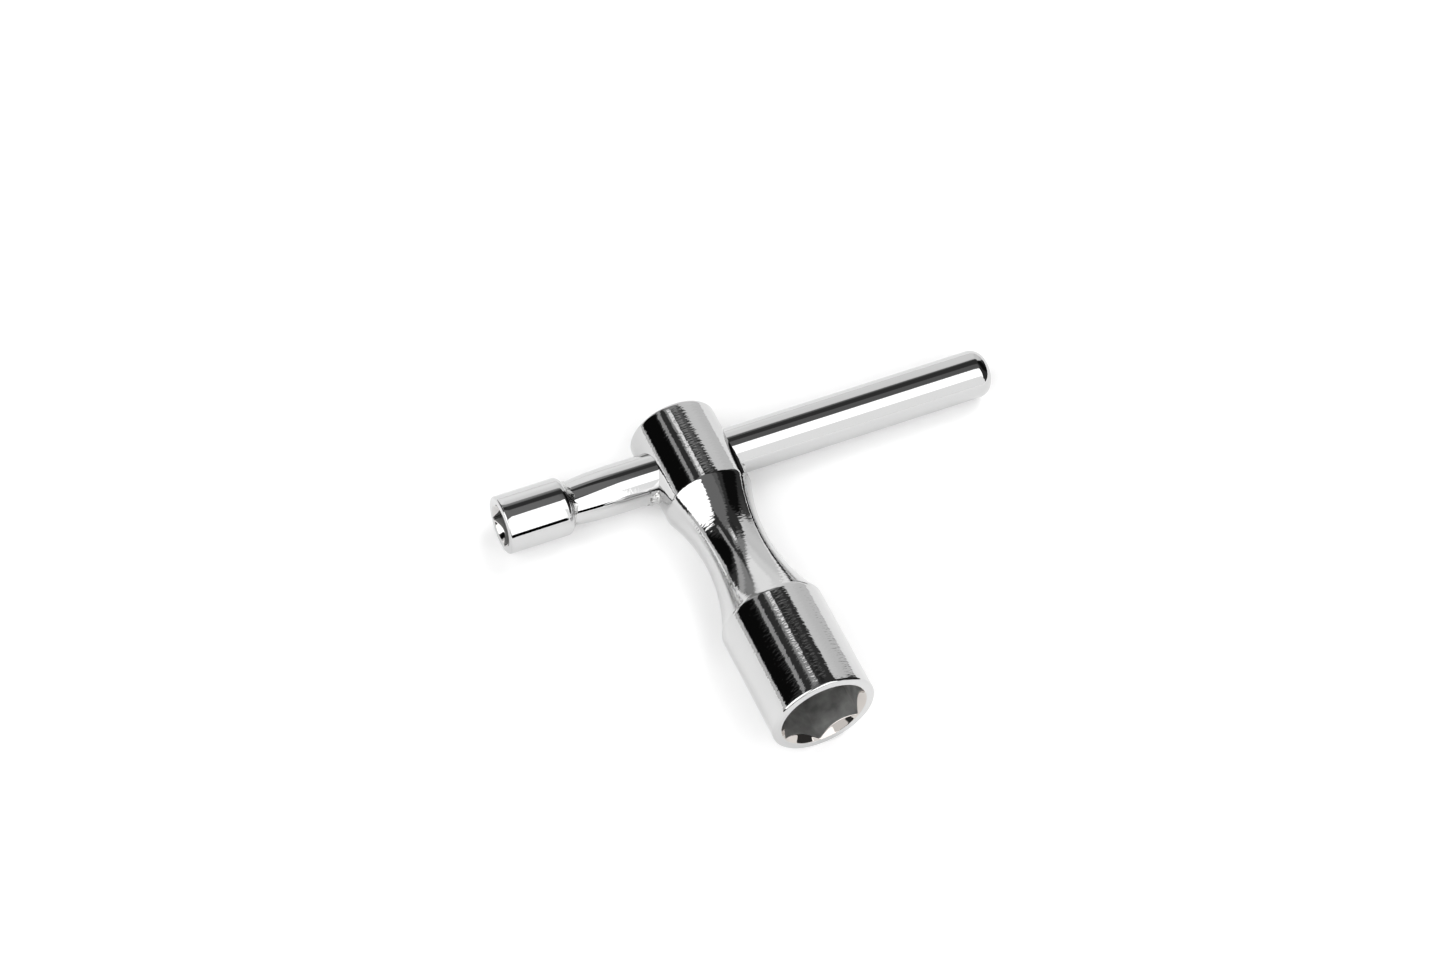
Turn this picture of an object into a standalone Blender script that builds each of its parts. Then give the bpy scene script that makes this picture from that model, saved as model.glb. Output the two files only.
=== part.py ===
"""Radiator bleed key: a socket stem with a cross bar brazed through its collar.

The stem is one turned body: a large socket with a hexagon, a waisted neck and
a plain collar. A round bar runs through the collar and carries a small head
with a square socket. Braze beads hold the bar in the collar and on the head.

Metres, +Z up. The origin is the middle of the stem's flat end face. The stem
runs towards -Y, with its hexagon mouth at the far end, and the bar lies along X.
"""
import math

import bmesh
import bpy
from mathutils import Matrix, Vector

# ---- stem ---------------------------------------------------------------
STEM_LENGTH = 0.05785           # hexagon mouth to end face
SOCKET_DIAMETER = 0.0170        # outside of the hexagon socket
NECK_DIAMETER = 0.01076         # thinnest part of the waist
NECK_ARC_RADIUS = 0.0300        # hollow curve of the waist, seen from the side
NECK_FROM_MOUTH = 0.0324        # thinnest part, measured from the mouth
NECK_POINTS = 13                # points along the hollow curve
COLLAR_DIAMETER = 0.0146
SHOULDER_RADIUS = 0.0020        # blend where the waist meets socket and collar
END_EDGE_RADIUS = 0.0006
LIP_RADIUS = 0.0004

# ---- hexagon socket -----------------------------------------------------
HEX_ACROSS_FLATS = 0.0121       # for a 12 mm hexagon
HEX_DEPTH = 0.0130
HEX_CORNER_RADIUS = 0.0003
SOCKET_RIM = 0.00135            # flat rim left round the 45 degree lead-in

# ---- bar ----------------------------------------------------------------
BAR_DIAMETER = 0.00786
BAR_FROM_END_FACE = 0.00743     # bar axis below the stem's end face
BAR_RIGHT_REACH = 0.0523        # stem axis to the domed end
BAR_DOME_RADIUS = 0.0024
ARM_SWELL = 0.00014             # how much thicker the short arm is at its fullest part
ARM_SWELL_AT = 0.0130           # stem axis to the fullest part
ARM_POINTS = 13                 # points along the swelling
SPIGOT_SHOULDER = 0.0009        # step from the arm down to the spigot inside the head
SPIGOT_LENGTH = 0.0020

# ---- square socket head -------------------------------------------------
HEAD_DIAMETER = 0.0094
HEAD_STEP = 0.0012              # how far the head stands out past the arm that enters it
HEAD_LENGTH = 0.0110
HEAD_MOUTH_REACH = 0.0323       # stem axis to the head's mouth
HEAD_SHOULDER_RADIUS = 0.0011
HEAD_LIP_RADIUS = 0.00035
SQUARE_ACROSS_FLATS = 0.0052    # for a 5 mm square spindle
SQUARE_DEPTH = 0.0078
SQUARE_CORNER_RADIUS = 0.0002
HEAD_RIM = 0.0014               # flat rim left round the 45 degree lead-in
SQUARE_TURN = math.radians(13.0)

# ---- braze --------------------------------------------------------------
BEAD_LEG = 0.0018               # reach of a collar bead along the bar
BEAD_HEIGHT = 0.0003            # thickness of a collar bead beside the collar
BEAD_TIP_HEIGHT = 0.00015       # thickness where a bead runs out
BEAD_TOP_LEVEL = 0.0013         # the collar beads lie below this height, round the bar's underside
HEAD_BEAD_LEG = 0.0008
HEAD_BEAD_HEIGHT = 0.0004

GAP = 0.0003                    # clearance between neighbouring solids
CUT_PAST = 0.0010               # how far a cutter starts outside the face that it opens
LEAD_TIP = 0.9                  # a lead-in cone ends inside the flats, at this share of them
ROUND_STEPS = 64                # facets round the stem, the bar and their cutters
SMALL_STEPS = 48                # facets round the head and the beads
ARC_STEP = math.radians(15.0)   # largest turn between points of an arc

# ---- sizes that follow from those above ---------------------------------
HEX_LEAD_DIAMETER = SOCKET_DIAMETER - 2 * SOCKET_RIM
SQUARE_LEAD_DIAMETER = HEAD_DIAMETER - 2 * HEAD_RIM
ARM_SWELL_DIAMETER = BAR_DIAMETER + ARM_SWELL
ARM_NECK_DIAMETER = HEAD_DIAMETER - 2 * HEAD_STEP
SPIGOT_DIAMETER = ARM_NECK_DIAMETER - 2 * SPIGOT_SHOULDER


# ---- scene and materials ------------------------------------------------
def clear_scene():
    for old in list(bpy.data.objects):
        bpy.data.objects.remove(old, do_unlink=True)


def new_collection(name):
    collection = bpy.data.collections.new(name)
    bpy.context.scene.collection.children.link(collection)
    return collection


def plated_metal(name, colour, roughness):
    material = bpy.data.materials.new(name)
    material.use_nodes = True
    shader = material.node_tree.nodes["Principled BSDF"]
    shader.inputs["Base Color"].default_value = (*colour, 1.0)
    shader.inputs["Metallic"].default_value = 1.0
    shader.inputs["Roughness"].default_value = roughness
    material.diffuse_color = (*colour, 1.0)
    return material


# ---- profiles -----------------------------------------------------------
def arc_points(centre, radius, start, end):
    """Points on a circular arc from angle start to angle end, both included."""
    count = max(2, math.ceil(abs(end - start) / ARC_STEP) + 1)
    angles = [start + (end - start) * i / (count - 1) for i in range(count)]
    return [(centre[0] + radius * math.cos(a), centre[1] + radius * math.sin(a)) for a in angles]


def rounded(points, radii):
    """A polyline whose corners are replaced by tangent arcs of the given radii."""
    result = [points[0]]
    for before, corner, after, radius in zip(points, points[1:], points[2:], radii):
        corner_v = Vector(corner)
        to_before = (Vector(before) - corner_v).normalized()
        to_after = (Vector(after) - corner_v).normalized()
        half = to_before.angle(to_after) / 2
        if radius == 0.0:
            result.append(corner)
            continue
        tangent = radius / math.tan(half)
        centre = corner_v + (to_before + to_after).normalized() * radius / math.sin(half)
        first = corner_v + to_before * tangent - centre
        last = corner_v + to_after * tangent - centre
        start = math.atan2(first.y, first.x)
        turn = (math.atan2(last.y, last.x) - start + math.pi) % (2 * math.pi) - math.pi
        result += arc_points(centre, radius, start, start + turn)
    result.append(points[-1])
    return result


def turned(name, profile, steps=ROUND_STEPS):
    """A solid turned about Z from a profile of (radius, height) points, top to bottom."""
    mesh = bpy.data.meshes.new(name)
    vertices = [(radius, 0.0, height) for radius, height in profile]
    edges = [(i, i + 1) for i in range(len(vertices) - 1)]
    mesh.from_pydata(vertices, edges, [])
    solid = bpy.data.objects.new(name, mesh)
    screw = solid.modifiers.new("turn", "SCREW")
    screw.axis = "Z"
    screw.angle = 2 * math.pi
    screw.steps = steps
    screw.render_steps = steps
    screw.use_merge_vertices = True
    screw.merge_threshold = 0.00001
    screw.use_smooth_shade = True
    return solid


def along_y(solid):
    """Lay a solid turned about Z along Y, so that its height is measured along +Y."""
    solid.rotation_euler = (-math.pi / 2, 0.0, 0.0)


def along_x(solid):
    """Lay a solid turned about Z along X, so that its height is measured along +X."""
    solid.rotation_euler = (0.0, math.pi / 2, 0.0)
    solid.location.y = -BAR_FROM_END_FACE


# ---- cutters ------------------------------------------------------------
def cutter(collection, name, build, matrix):
    """A hidden solid that only cuts, built into a bmesh by the given function."""
    mesh = bpy.data.meshes.new(name)
    shape = bmesh.new()
    build(shape)
    shape.transform(matrix)
    shape.to_mesh(mesh)
    shape.free()
    tool = bpy.data.objects.new(name, mesh)
    tool.hide_render = True
    tool.display_type = "WIRE"
    collection.objects.link(tool)
    return tool


def cut(solid, tool):
    boolean = solid.modifiers.new(tool.name, "BOOLEAN")
    boolean.operation = "DIFFERENCE"
    boolean.solver = "EXACT"
    boolean.object = tool


def prism(sides, across_flats, length, corner_radius):
    """A builder for a regular prism along Z with rounded long edges."""
    def build(shape):
        circumradius = across_flats / 2 / math.cos(math.pi / sides)
        bmesh.ops.create_cone(
            shape, cap_ends=True, segments=sides, radius1=circumradius,
            radius2=circumradius, depth=length,
        )
        long_edges = [e for e in shape.edges if abs(e.verts[0].co.z - e.verts[1].co.z) > length / 2]
        bmesh.ops.bevel(
            shape, geom=long_edges, offset=corner_radius, offset_type="OFFSET",
            segments=2, profile=0.5, affect="EDGES",
        )
    return build


def cone(low_radius, high_radius, length, segments=ROUND_STEPS):
    """A builder for a round cutter along Z, wider or narrower at its top."""
    def build(shape):
        bmesh.ops.create_cone(
            shape, cap_ends=True, segments=segments, radius1=low_radius,
            radius2=high_radius, depth=length,
        )
    return build


def lead_in(mouth_diameter, across_flats, segments):
    """A 45 degree lead-in cone's builder, and how far inside the mouth its middle lies."""
    tip_radius = across_flats * LEAD_TIP / 2
    depth = mouth_diameter / 2 - tip_radius
    build = cone(mouth_diameter / 2 + CUT_PAST, tip_radius, depth + CUT_PAST, segments)
    return build, (depth - CUT_PAST) / 2


def cube(size):
    """A builder for a cube with the given edge."""
    def build(shape):
        bmesh.ops.create_cube(shape, size=size)
    return build


# ---- stem ---------------------------------------------------------------
def neck_meets(radius):
    """How far from the neck's thinnest point its curve reaches the given radius."""
    arc_centre = NECK_DIAMETER / 2 + NECK_ARC_RADIUS
    return math.sqrt(NECK_ARC_RADIUS ** 2 - (arc_centre - radius) ** 2)


def neck_curve(from_radius, to_radius):
    """The waist's hollow arc, from the collar's edge to the socket's edge."""
    centre = (NECK_DIAMETER / 2 + NECK_ARC_RADIUS, NECK_FROM_MOUTH - STEM_LENGTH)
    start = math.pi - math.asin(neck_meets(from_radius) / NECK_ARC_RADIUS)
    end = math.pi + math.asin(neck_meets(to_radius) / NECK_ARC_RADIUS)
    step = (end - start) / (NECK_POINTS - 1)
    angles = [start + step * i for i in range(NECK_POINTS)]
    return [(centre[0] + NECK_ARC_RADIUS * math.cos(a), centre[1] + NECK_ARC_RADIUS * math.sin(a))
            for a in angles]


def stem_profile():
    """Outline from the middle of the end face, down the outside, to the mouth's middle."""
    collar = COLLAR_DIAMETER / 2
    socket = SOCKET_DIAMETER / 2
    neck = neck_curve(collar, socket)
    points = [(0.0, 0.0), (collar, 0.0), *neck, (socket, -STEM_LENGTH), (0.0, -STEM_LENGTH)]
    hollow = [0.0] * (len(neck) - 2)
    radii = [END_EDGE_RADIUS, SHOULDER_RADIUS, *hollow, SHOULDER_RADIUS, LIP_RADIUS]
    return rounded(points, radii)


def make_stem(parts, cutters):
    stem = turned("socket_stem", stem_profile())
    along_y(stem)
    parts.objects.link(stem)

    into_stem = Matrix.Rotation(-math.pi / 2, 4, "X")
    hexagon = cutter(
        cutters, "hexagon_cutter",
        prism(6, HEX_ACROSS_FLATS, HEX_DEPTH + CUT_PAST, HEX_CORNER_RADIUS),
        Matrix.Translation((0.0, -STEM_LENGTH + (HEX_DEPTH - CUT_PAST) / 2, 0.0)) @ into_stem,
    )
    lead_build, lead_middle = lead_in(HEX_LEAD_DIAMETER, HEX_ACROSS_FLATS, ROUND_STEPS)
    lead = cutter(
        cutters, "hexagon_lead_cutter", lead_build,
        Matrix.Translation((0.0, -STEM_LENGTH + lead_middle, 0.0)) @ into_stem,
    )
    bar_hole = cutter(
        cutters, "bar_hole_cutter",
        cone(BAR_DIAMETER / 2 + GAP, BAR_DIAMETER / 2 + GAP, COLLAR_DIAMETER * 2),
        Matrix.Translation((0.0, -BAR_FROM_END_FACE, 0.0)) @ Matrix.Rotation(math.pi / 2, 4, "Y"),
    )
    for tool in (hexagon, lead, bar_hole):
        cut(stem, tool)
    return stem


# ---- bar ----------------------------------------------------------------
def head_back():
    """Distance from the stem's axis to the head's back face."""
    return HEAD_MOUTH_REACH - HEAD_LENGTH


def arm_swell():
    """The short arm's gentle swelling, from its root in the collar to its neck."""
    root = COLLAR_DIAMETER / 4
    neck = head_back() - GAP
    points = []
    for i in range(ARM_POINTS):
        reach = root + (neck - root) * i / (ARM_POINTS - 1)
        if reach < ARM_SWELL_AT:
            share = (ARM_SWELL_AT - reach) / (ARM_SWELL_AT - root)
            end_radius = BAR_DIAMETER / 2
        else:
            share = (reach - ARM_SWELL_AT) / (neck - ARM_SWELL_AT)
            end_radius = ARM_NECK_DIAMETER / 2
        swell = ARM_SWELL_DIAMETER / 2 - end_radius
        points.append((ARM_SWELL_DIAMETER / 2 - swell * share ** 2, -reach))
    return points


def make_bar(parts):
    radius = BAR_DIAMETER / 2
    arm = arm_swell()
    neck_end = arm[-1][1]
    spigot_end = neck_end - SPIGOT_LENGTH
    points = [
        (0.0, BAR_RIGHT_REACH), (radius, BAR_RIGHT_REACH), *arm,
        (SPIGOT_DIAMETER / 2, neck_end), (SPIGOT_DIAMETER / 2, spigot_end), (0.0, spigot_end),
    ]
    radii = [BAR_DOME_RADIUS] + [0.0] * (len(points) - 3)
    bar = turned("cross_bar", rounded(points, radii))
    along_x(bar)
    parts.objects.link(bar)
    return bar


# ---- square socket head -------------------------------------------------
def make_head(parts, cutters):
    radius = HEAD_DIAMETER / 2
    back = -head_back()
    mouth = -HEAD_MOUTH_REACH
    points = [(0.0, back), (radius, back), (radius, mouth), (0.0, mouth)]
    head = turned("square_socket_head", rounded(points, [HEAD_SHOULDER_RADIUS, HEAD_LIP_RADIUS]),
                  SMALL_STEPS)
    along_x(head)
    parts.objects.link(head)

    along_bar = Matrix.Rotation(math.pi / 2, 4, "Y")
    on_bar_axis = Matrix.Translation((0.0, -BAR_FROM_END_FACE, 0.0))
    turn = Matrix.Rotation(SQUARE_TURN + math.pi / 4, 4, "X")
    square = cutter(
        cutters, "square_cutter",
        prism(4, SQUARE_ACROSS_FLATS, SQUARE_DEPTH + CUT_PAST, SQUARE_CORNER_RADIUS),
        Matrix.Translation((mouth + (SQUARE_DEPTH - CUT_PAST) / 2, 0.0, 0.0))
        @ on_bar_axis @ turn @ along_bar,
    )
    lead_build, lead_middle = lead_in(SQUARE_LEAD_DIAMETER, SQUARE_ACROSS_FLATS, SMALL_STEPS)
    lead = cutter(
        cutters, "square_lead_cutter", lead_build,
        Matrix.Translation((mouth + lead_middle, 0.0, 0.0)) @ on_bar_axis @ along_bar,
    )
    bore_depth = SPIGOT_LENGTH + 2 * GAP
    spigot_bore = cutter(
        cutters, "spigot_bore_cutter",
        cone(SPIGOT_DIAMETER / 2 + GAP, SPIGOT_DIAMETER / 2 + GAP, bore_depth * 2, SMALL_STEPS),
        Matrix.Translation((back, 0.0, 0.0)) @ on_bar_axis @ along_bar,
    )
    for tool in (square, lead, spigot_bore):
        cut(head, tool)
    return head


# ---- braze beads --------------------------------------------------------
def bead_ring(name, inner, height, root, land, tip):
    """A ring of braze round the bar: full height from root to land, thinning to its tip.

    The three places are distances along X. The ring faces +X if tip is beyond root.
    """
    top = inner + height
    runout = inner + BEAD_TIP_HEIGHT
    profile = [(inner, tip), (runout, tip), (top, land), (top, root), (inner, root), (inner, tip)]
    if tip < root:
        profile.reverse()
    ring = turned(name, profile, SMALL_STEPS)
    along_x(ring)
    return ring


def make_collar_bead(parts, cutters, name, side):
    """A run of braze round the bar's underside, shaped to the collar's round side."""
    bar_radius = BAR_DIAMETER / 2 if side > 0 else ARM_SWELL_DIAMETER / 2
    inner = bar_radius + GAP
    collar = COLLAR_DIAMETER / 2 + GAP
    inside_collar = COLLAR_DIAMETER / 4
    bead = bead_ring(name, inner, BEAD_HEIGHT, side * inside_collar, side * (collar + GAP),
                     side * (collar + BEAD_LEG))
    parts.objects.link(bead)
    collar_cutter = cutter(
        cutters, name + "_collar_cutter", cone(collar, collar, STEM_LENGTH),
        Matrix.Rotation(math.pi / 2, 4, "X"),
    )
    block = COLLAR_DIAMETER * 2
    top_cutter = cutter(
        cutters, name + "_top_cutter", cube(block),
        Matrix.Translation((side * collar, -BAR_FROM_END_FACE, BEAD_TOP_LEVEL + block / 2)),
    )
    for tool in (collar_cutter, top_cutter):
        cut(bead, tool)
    return bead


def make_head_bead(parts):
    """A ring of braze in the corner between the short arm and the head's back face."""
    inner = ARM_NECK_DIAMETER / 2 + 2 * GAP
    start = -head_back() + GAP
    bead = bead_ring("head_braze_bead", inner, HEAD_BEAD_HEIGHT, start, start + GAP,
                     start + HEAD_BEAD_LEG)
    parts.objects.link(bead)
    return bead


# ---- assembly -----------------------------------------------------------
def build_key():
    clear_scene()
    parts = new_collection("radiator_bleed_key")
    cutters = new_collection("cutters")
    bright = plated_metal("bright_plating_stem", (0.80, 0.80, 0.80), 0.06)
    bar_plating = plated_metal("bright_plating_bar", (0.80, 0.80, 0.80), 0.07)
    head_plating = plated_metal("bright_plating_head", (0.80, 0.80, 0.80), 0.07)
    braze = plated_metal("plated_braze", (0.66, 0.65, 0.63), 0.28)
    finishes = [
        (make_stem(parts, cutters), bright),
        (make_bar(parts), bar_plating),
        (make_head(parts, cutters), head_plating),
        (make_collar_bead(parts, cutters, "right_braze_bead", 1), braze),
        (make_collar_bead(parts, cutters, "left_braze_bead", -1), braze),
        (make_head_bead(parts), braze),
    ]
    for piece, material in finishes:
        piece.data.materials.append(material)


build_key()
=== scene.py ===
"""Radiator bleed key, finished to look like the real tool: a chromed socket stem,
a cross bar through its collar, a small square socket on the bar, and braze.

Metres, +Z up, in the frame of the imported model: the origin is the middle of the
stem's flat end face, the stem runs towards -Y and the bar lies along X.
"""

import bmesh
import bpy
import numpy as np
from mathutils import Matrix, Vector


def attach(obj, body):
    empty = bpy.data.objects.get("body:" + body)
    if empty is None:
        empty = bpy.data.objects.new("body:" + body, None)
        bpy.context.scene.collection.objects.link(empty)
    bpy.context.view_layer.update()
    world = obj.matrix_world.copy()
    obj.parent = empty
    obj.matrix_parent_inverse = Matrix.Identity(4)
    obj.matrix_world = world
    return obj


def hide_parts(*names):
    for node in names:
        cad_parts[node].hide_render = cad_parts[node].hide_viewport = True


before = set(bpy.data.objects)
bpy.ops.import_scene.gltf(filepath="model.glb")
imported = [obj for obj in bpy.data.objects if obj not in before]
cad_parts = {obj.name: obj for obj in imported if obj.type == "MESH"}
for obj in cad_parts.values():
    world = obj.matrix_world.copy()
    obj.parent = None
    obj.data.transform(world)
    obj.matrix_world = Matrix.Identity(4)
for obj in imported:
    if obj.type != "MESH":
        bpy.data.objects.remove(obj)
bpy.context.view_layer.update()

# ======================================================================
# Table, camera and studio
# A white table, a camera and a studio. The table is the plane that passes
# under the socket, the head and the long arm, tilted a few degrees in the
# key's frame. It cuts through the collar, which hangs lower. Round it stand
# softboxes, a pale backdrop, rails and flags, and a soft lamp lights it.
# ======================================================================
TABLE_UNDER_SOCKET = (0.0, -0.05745, -0.00850)
TABLE_UNDER_HEAD = (-0.0270, -0.00743, -0.00470)
TABLE_UNDER_ARM = (0.0500, -0.00743, -0.00393)
TABLE_HALF = 0.45
GLOW_REACH = (-0.020, 0.050)
GLOW = (0.12, 0.20)

CAMERA_AT = (-0.172206, -0.329034, 0.491154)
CAMERA_HEADING = 29.01
CAMERA_HEIGHT_ANGLE = 53.60
CAMERA_ROLL = 6.15
LENS = 96.44


def unit(v):
    """The vector divided by its length."""
    return np.asarray(v, float) / np.linalg.norm(v)


def camera_axes(heading, height_angle, roll):
    """Right, up and backward axes of a camera that looks down at height_angle from heading, then rolls."""
    h, e, r = np.radians([heading, height_angle, roll])
    back = np.array([-np.sin(h) * np.cos(e), -np.cos(h) * np.cos(e), np.sin(e)])
    right = unit(np.cross((0.0, 0.0, 1.0), back))
    up = np.cross(back, right)
    rolled_right = np.cos(r) * right + np.sin(r) * up
    rolled_up = -np.sin(r) * right + np.cos(r) * up
    return rolled_right, rolled_up, back


bpy.context.scene.view_settings.view_transform = "Standard"
camera = bpy.data.objects.new("camera", bpy.data.cameras.new("camera"))
bpy.context.scene.collection.objects.link(camera)
axes = camera_axes(CAMERA_HEADING, CAMERA_HEIGHT_ANGLE, CAMERA_ROLL)
camera_matrix = Matrix.Identity(4)
for column, axis in enumerate((*axes, CAMERA_AT)):
    for row in range(3):
        camera_matrix[row][column] = axis[row]
camera.matrix_world = camera_matrix
camera.data.lens = LENS
camera.data.sensor_width = 36.0
camera.data.clip_start = 0.01
camera.data.clip_end = 20.0
bpy.context.scene.camera = camera

table_up = unit(np.cross(np.subtract(TABLE_UNDER_ARM, TABLE_UNDER_SOCKET),
                         np.subtract(TABLE_UNDER_HEAD, TABLE_UNDER_SOCKET)))
table_toward = unit(axes[2] - table_up * (axes[2] @ table_up))
table_right = np.cross(-table_toward, table_up)
table_away = -table_toward


def studio_direction(azimuth, height):
    """A direction in the studio: azimuth 0 is the camera's right, 90 is straight away from it."""
    a, h = np.radians([azimuth, height])
    level = np.cos(a) * table_right + np.sin(a) * table_away
    return np.cos(h) * level + np.sin(h) * table_up


def make_floor():
    """A square white sheet in the plane of the three points named above. It glows a little, more on the side
    nearer the camera: painted light that whitens it and softens the shadows on it.
    """
    middle = np.asarray(TABLE_UNDER_SOCKET) - table_up * 0.00002
    corners = [middle + TABLE_HALF * (a * table_right + b * table_away)
               for a, b in ((-1, -1), (1, -1), (1, 1), (-1, 1))]
    mesh = bpy.data.meshes.new("table")
    mesh.from_pydata([tuple(c) for c in corners], [], [(0, 1, 2, 3)])
    table = bpy.data.objects.new("table", mesh)
    bpy.context.scene.collection.objects.link(table)
    material = bpy.data.materials.new("white_table")
    material.use_nodes = True
    nodes, links = material.node_tree.nodes, material.node_tree.links
    shader = nodes["Principled BSDF"]
    shader.inputs["Base Color"].default_value = (0.90, 0.90, 0.90, 1.0)
    shader.inputs["Roughness"].default_value = 0.9
    shader.inputs["Specular IOR Level"].default_value = 0.0
    # Painted light: a white glow, stronger on the side nearer the camera, that whitens the table and lifts
    # its shadows.
    shader.inputs["Emission Color"].default_value = (1.0, 1.0, 1.0, 1.0)
    forward = nodes.new("ShaderNodeVectorMath")
    forward.operation = "DOT_PRODUCT"
    forward.inputs[1].default_value = tuple(studio_direction(300, 0))
    links.new(nodes.new("ShaderNodeTexCoord").outputs["Object"], forward.inputs[0])
    glow = nodes.new("ShaderNodeMapRange")
    glow.interpolation_type = "SMOOTHSTEP"
    for socket, value in zip(("From Min", "From Max", "To Min", "To Max"), (*GLOW_REACH, *GLOW)):
        glow.inputs[socket].default_value = value
    links.new(forward.outputs["Value"], glow.inputs["Value"])
    links.new(glow.outputs["Result"], shader.inputs["Emission Strength"])
    mesh.materials.append(material)
    return table


table = make_floor()

# Each card: its corners as (azimuth, height) in degrees seen from the key, taken in turn
# round its edge, then the softness of that edge in degrees, then its brightness. Later
# cards stand in front of earlier ones.
STUDIO_CARDS = {
    "front_wall": ([(196, -3), (235, 5), (310, 5), (352, -3), (350, 45), (300, 62), (240, 62), (205, 50)],
                   3, 1.25),
    "ceiling": ([(148, 56), (137, 55), (109, 64), (61, 65), (33, 65), (7, 63), (315, 76), (225, 73),
                 (180, 64)], 4, 0.27),
    "ceiling_far_side": ([(82, 66), (55, 63), (21, 61), (17, 73), (53, 73)], 4, 0.175),
    "lamp_rail": ([(139, 58.5), (118, 60.5), (119, 49), (137, 47.5)], 2.4, 0.46),
    "lamp_rail_end": ([(131, 55.6), (119, 56), (119.5, 47), (131, 46)], 1.8, 1.6),
    "rail_glow": ([(116, 54), (101, 53.5), (90, 50), (88, 45), (112, 47)], 3, 0.17),
    "rail_gap": ([(108, 60), (98, 57.5), (99.5, 53), (107.5, 54.2)], 2, 0.03),
    "ceiling_edge": ([(139, 47), (137, 43), (101, 43), (99, 50), (123, 52)], 3, 0.40),
    "left_softbox": ([(193, 8), (190, 12), (188, 24), (179, 39), (177, 56), (208, 77), (262, 42), (250, 7),
                      (203, 7)], 1.6, 2.7),
    "front_softbox": ([(12, 72), (11, 60), (345, 40), (335, 10), (322, 9), (290, 9), (285, 60)], 1.4, 2.7),
    "front_side_wall": ([(324.5, 48.5), (330, 38.5), (345, 20), (345, -3), (317.2, -3), (317.9, 15),
                         (319.8, 30), (321.6, 38)], 0.8, 1.55),
    "front_gap": ([(317.4, 11.5), (317.4, -4), (295, -4), (295, 11.5)], 1.0, 0.0),
    "left_low_wall": ([(202, 8), (166, 8), (160, -4), (205, -4)], 2, 0.90),
    "backdrop_haze": ([(129, 8), (127, 29), (130, 36), (119, 48), (104, 48), (86, 43), (66, 31), (60, 5),
                       (60, -3), (128, -3)], 4, 0.40),
    "backdrop": ([(132, -3), (60, -3), (60, 3), (62, 22), (70, 34), (79, 40.5), (90, 43), (104, 41.5),
                  (127, 33), (128, 12)], 2.2, 1.10),
    "backdrop_corner": ([(60, -3), (58, 22), (65, 37), (72, 44.5), (79.5, 41.4), (84, 37.5), (80, 10),
                         (75, -3)], 4, 1.12),
    "backdrop_middle": ([(128, -3), (127, 32), (104, 40), (92, 41), (91, -3)], 9, 1.28),
    "backdrop_bright_side": ([(124, 2), (126, 31), (109, 38), (103, 8), (119, -2)], 6, 1.52),
    "backdrop_far_side": ([(69, 36), (60, 24), (58, -3), (69, -3)], 8, 1.0),
    "left_haze": ([(136, -8), (131, -6), (128, 9), (134, 32), (144, 40), (141, 8)], 5, 0.41),
    "left_streak": ([(144, -5), (140, 1), (141, 36), (148, 42), (151, 35), (149, 4)], 4, 0.67),
    "left_streak_end": ([(147, 33), (143, 39), (157, 47.5), (171, 50), (176, 42), (161, 40.5)], 2, 0.52),
    "left_flag": ([(187, 5.5), (160, 5.5), (158, 7), (155, 25), (155, 36), (168, 39.5), (180, 29), (190, 9)],
                  2, 0.006),
    "right_flag": ([(57, 3), (20, 2), (5, 55), (60, 57), (90, 56), (90, 47), (64, 36), (60, 23)], 2.5, 0.008),
    "right_flag_glow": ([(61, 16), (58, 6), (49, 6), (48, 18), (58, 26)], 6, 0.09),
}
DARK_ROOM = 0.055
FAR_LAMP_AT = (62, 50)
FAR_LAMP_SPREAD = 38.0
FAR_LAMP_POWER = 1.25


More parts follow.
